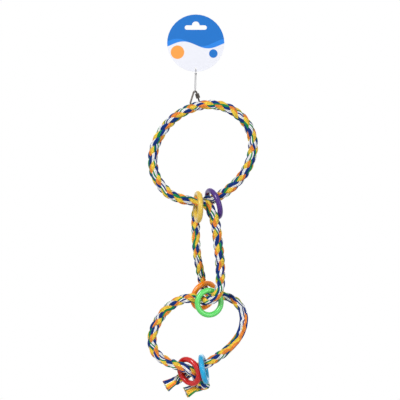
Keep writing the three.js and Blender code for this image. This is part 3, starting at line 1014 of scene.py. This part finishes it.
EYE_LEG = -0.0728  # height at which the eye's two sides run straight
KNOT_WRAP = (0.00052, 0.00038, 0.00042)  # size of the knot's wraps across, deep and up
KNOT_POINTS = 64
KNOT_THICKNESS = 0.95  # pulled tight, over the thread's own


def thread_tube(name, points, thickness):
    """Round thread along a smooth line of points."""
    curve = bpy.data.curves.new(name, "CURVE")
    curve.dimensions = "3D"
    curve.bevel_depth = thickness / 2
    curve.bevel_resolution = 4
    curve.resolution_u = 8
    curve.use_fill_caps = True
    spline = curve.splines.new("NURBS")
    spline.points.add(len(points) - 1)
    for made, point in zip(spline.points, points):
        made.co = (*point, 1)
    spline.use_endpoint_u = True
    spline.order_u = 4
    clear_selection()
    piece = new_object(name, curve)
    piece.select_set(True)
    bpy.context.view_layer.objects.active = piece
    bpy.ops.object.convert(target="MESH")
    return bpy.context.active_object


def thread_material():
    material, nodes, links, shader = blank_material("clear_nylon")
    rough = between(nodes, links, grain(nodes, links, 500.0, 2.0), 0.35, 0.5)
    links.new(rough, shader.inputs["Roughness"])
    fill(shader, Base_Color=(0.5, 0.5, 0.52, 1), Transmission_Weight=0.15, IOR=1.5)
    return material


def thread_eye(foot, thickness):
    """Eye from the knot up through the tag's hole and down again."""
    low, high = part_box("string_eye")
    reach = (high[1] - low[1] - thickness) / 2
    top = high[2] - thickness / 2
    front = [
        (0, -reach * 0.5, foot), (0, -reach, EYE_LEG), (0, -reach, top - reach),
        (0, -reach * 0.95, top - reach * 0.2),
    ]
    back = [(x, -y, z) for x, y, z in reversed(front)]
    return thread_tube("thread_eye", [*front, (0, 0, top + reach * 0.35), *back], thickness)


def thread_knot(knot, thickness):
    """Closed wrap of thread round the knot's middle."""
    wide, deep, tall = KNOT_WRAP
    wrap = []
    for i in range(KNOT_POINTS):
        t = 2 * math.pi * i / KNOT_POINTS
        wrap.append((
            knot.x + wide * (math.sin(t) + 2 * math.sin(2 * t)),
            knot.y - deep * math.sin(3 * t),
            knot.z + tall * (math.cos(t) - 2 * math.cos(2 * t)),
        ))
    return thread_tube("thread_knot", wrap + wrap[:1], thickness * KNOT_THICKNESS)


def thread_loop(foot, thickness):
    """Loop from the knot down round the link's tip and up again."""
    low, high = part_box("string_loop")
    side = (high[1] - low[1] - thickness) / 2
    bottom = low[2] + thickness / 2
    return thread_tube("thread_loop", [
        (-0.0007, -0.0007, foot), (-0.0012, -side * 0.75, foot - 0.006),
        (LINK_X - 0.0007, -side, bottom + 0.009), (LINK_X - 0.0005, -side, bottom + 0.003),
        (LINK_X, -side * 0.95, bottom + 0.0006), (LINK_X, 0, bottom - 0.0005),
        (LINK_X, side * 0.95, bottom + 0.0006), (LINK_X + 0.0005, side, bottom + 0.003),
        (LINK_X + 0.0013, side, bottom + 0.009), (0.0002, side * 0.75, foot - 0.006),
        (0.0007, 0.0007, foot),
    ], thickness)


class BIRDROPE_OT_thread(bpy.types.Operator):
    """Make the clear thread, its eye through the tag, its knot and its loop"""

    bl_idname = "birdrope.thread"
    bl_label = "Make Thread"

    def execute(self, context):
        thickness = context.scene.bird_tag.thread
        clear = thread_material()
        low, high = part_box("string_knot")
        knot = Vector([(a + b) / 2 for a, b in zip(low, high)])
        eye = thread_eye(knot.z, thickness)
        tied = thread_knot(knot, thickness)
        loop = thread_loop(knot.z, thickness)
        for piece, solid in ((eye, "string_eye"), (tied, "string_knot"), (loop, "string_loop")):
            set_material(piece, clear)
            smooth(piece)
            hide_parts(solid)
            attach(piece, "thread")
        return {"FINISHED"}


# Stage

VIEW_CENTRE = (0.00616, 0.0, -0.2588)
VIEW_WIDTH = 0.58
SENSOR_WIDTH = 36.0
FLOOR_RADIUS = 0.42
FLOOR_FORWARD = 0.1


def soft_box(name, place, width, height, power):
    data = bpy.data.lights.new(name, "AREA")
    data.shape = "RECTANGLE"
    data.size = width
    data.size_y = height
    data.energy = power
    lamp = bpy.data.objects.new(name, data)
    lamp.location = place
    lamp.rotation_euler = (Vector(VIEW_CENTRE) - Vector(place)).to_track_quat("-Z", "Y").to_euler()
    bpy.context.scene.collection.objects.link(lamp)


def make_floor(height):
    clear_selection()
    bpy.ops.mesh.primitive_circle_add(vertices=96, radius=FLOOR_RADIUS, fill_type="NGON")
    floor = bpy.context.active_object
    floor.name = "floor"
    floor.data.transform(Matrix.Translation((0, -FLOOR_FORWARD, height)))
    material, _, _, shader = blank_material("pale_floor")
    fill(shader, Base_Color=(0.86, 0.86, 0.86, 1), Roughness=0.7)
    set_material(floor, material)


def make_world(scene):
    """Even white to the camera, in mirrors and through glass, and soft light on the rest."""
    world = bpy.data.worlds.new("studio")
    world.use_nodes = True
    scene.world = world
    nodes, links = world.node_tree.nodes, world.node_tree.links
    nodes.clear()
    rays = nodes.new("ShaderNodeLightPath").outputs
    mirrored = calc(
        nodes, links, "MAXIMUM", rays["Is Glossy Ray"], rays["Is Transmission Ray"],
    )
    seen = calc(nodes, links, "MAXIMUM", rays["Is Camera Ray"], mirrored)
    ambient = node(nodes, "ShaderNodeBackground", Color=(1, 1, 1, 1), Strength=0.18)
    paper = node(nodes, "ShaderNodeBackground", Color=(1, 1, 1, 1), Strength=1.0)
    choose = nodes.new("ShaderNodeMixShader")
    out = nodes.new("ShaderNodeOutputWorld")
    links.new(seen, choose.inputs["Fac"])
    links.new(ambient.outputs[0], choose.inputs[1])
    links.new(paper.outputs[0], choose.inputs[2])
    links.new(choose.outputs[0], out.inputs["Surface"])


def make_camera(scene, focal):
    lens = bpy.data.cameras.new("camera")
    lens.lens = focal
    lens.sensor_width = SENSOR_WIDTH
    camera = bpy.data.objects.new("camera", lens)
    camera.location = (VIEW_CENTRE[0], -VIEW_WIDTH * focal / SENSOR_WIDTH, VIEW_CENTRE[2])
    camera.rotation_euler = (math.radians(90), 0, 0)
    scene.collection.objects.link(camera)
    scene.camera = camera


class BIRDROPE_OT_stage(bpy.types.Operator):
    """Make the floor, the lights and the camera"""

    bl_idname = "birdrope.stage"
    bl_label = "Make Stage"

    def execute(self, context):
        settings = context.scene.bird_stage
        make_floor(SOLID_BOX[0][2] - settings.floor_drop)
        make_world(context.scene)
        # The two in front are wide enough to draw a soft streak along the rings
        soft_box("key", (-0.9, -1.4, 0.7), 0.7, 1.2, settings.key_power)
        soft_box("fill", (1.1, -1.3, -0.1), 0.8, 1.2, settings.fill_power)
        soft_box("back", (0.2, 1.4, 0.5), 1.4, 1.4, settings.fill_power)
        make_camera(context.scene, settings.focal)
        context.scene.view_settings.view_transform = "Standard"
        return {"FINISHED"}


class BIRDROPE_PT_panel(bpy.types.Panel):
    """Sidebar panel that lists the pieces"""

    bl_idname = "BIRDROPE_PT_panel"
    bl_label = "Bird Rope"
    bl_space_type = "VIEW_3D"
    bl_region_type = "UI"
    bl_category = "Bird Rope"

    def draw(self, context):
        layout = self.layout
        for settings, operators in (
            (context.scene.bird_stage, ("birdrope.stage",)),
            (context.scene.bird_rope, ("birdrope.rope",)),
            (context.scene.bird_rings, ("birdrope.rings",)),
            (context.scene.bird_link, ("birdrope.link",)),
            (context.scene.bird_tag, ("birdrope.tag", "birdrope.thread")),
        ):
            box = layout.box()
            for key in settings.__annotations__:
                box.prop(settings, key)
            for operator in operators:
                box.operator(operator)


CLASSES = (
    RopeSettings, RingSettings, LinkSettings, TagSettings, StageSettings,
    BIRDROPE_OT_rope, BIRDROPE_OT_rings, BIRDROPE_OT_link, BIRDROPE_OT_tag,
    BIRDROPE_OT_thread, BIRDROPE_OT_stage, BIRDROPE_PT_panel,
)
SETTINGS = {
    "bird_rope": RopeSettings,
    "bird_rings": RingSettings,
    "bird_link": LinkSettings,
    "bird_tag": TagSettings,
    "bird_stage": StageSettings,
}


def register():
    for cls in CLASSES:
        bpy.utils.register_class(cls)
    for name, group in SETTINGS.items():
        setattr(bpy.types.Scene, name, PointerProperty(type=group))


def unregister():
    for name in SETTINGS:
        delattr(bpy.types.Scene, name)
    for cls in reversed(CLASSES):
        bpy.utils.unregister_class(cls)


def main():
    register()
    bpy.ops.birdrope.stage()
    bpy.ops.birdrope.rope()
    bpy.ops.birdrope.rings()
    bpy.ops.birdrope.link()
    bpy.ops.birdrope.tag()
    bpy.ops.birdrope.thread()


if __name__ == "__main__":
    main()
